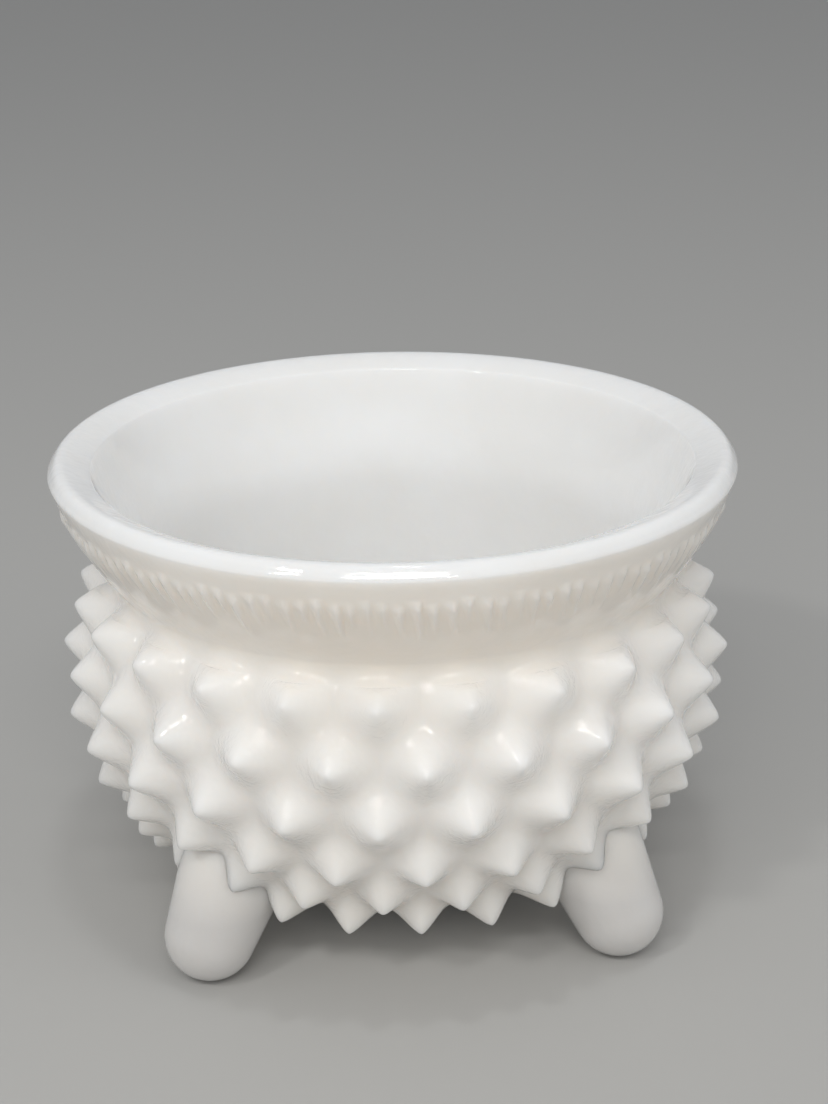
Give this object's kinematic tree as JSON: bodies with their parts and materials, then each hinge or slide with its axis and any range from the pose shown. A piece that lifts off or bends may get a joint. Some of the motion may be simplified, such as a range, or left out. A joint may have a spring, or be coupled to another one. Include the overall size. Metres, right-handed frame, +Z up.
{
  "type": "footed milk glass jar",
  "caption": "Open round jar of pressed milk glass with a rolled lip, flared collar, pointed-knob body and stub feet, for holding creams or small things.",
  "frame": {"origin": "on the axis of the jar, on the plane that the feet stand on", "axes": "+Z up along the jar's axis, out of the mouth; -Y is the front, midway between two feet; +X is to the right seen from the front"},
  "size_m": [0.114, 0.114, 0.0792],
  "materials": {
    "milk_glass": "glossy opaque white glass, very slightly translucent at thin edges"
  },
  "bodies": {
    "root": {"bowl_wall": "milk_glass", "collar": "milk_glass", "lip_ring": "milk_glass", "knob_row_1": "milk_glass", "knob_row_2": "milk_glass", "knob_row_3": "milk_glass", "knob_row_4": "milk_glass", "knob_row_5": "milk_glass", "knob_row_6": "milk_glass", "foot_front_left": "milk_glass", "foot_front_right": "milk_glass", "foot_rear_left": "milk_glass", "foot_rear_right": "milk_glass"}
  },
  "joints": []
}
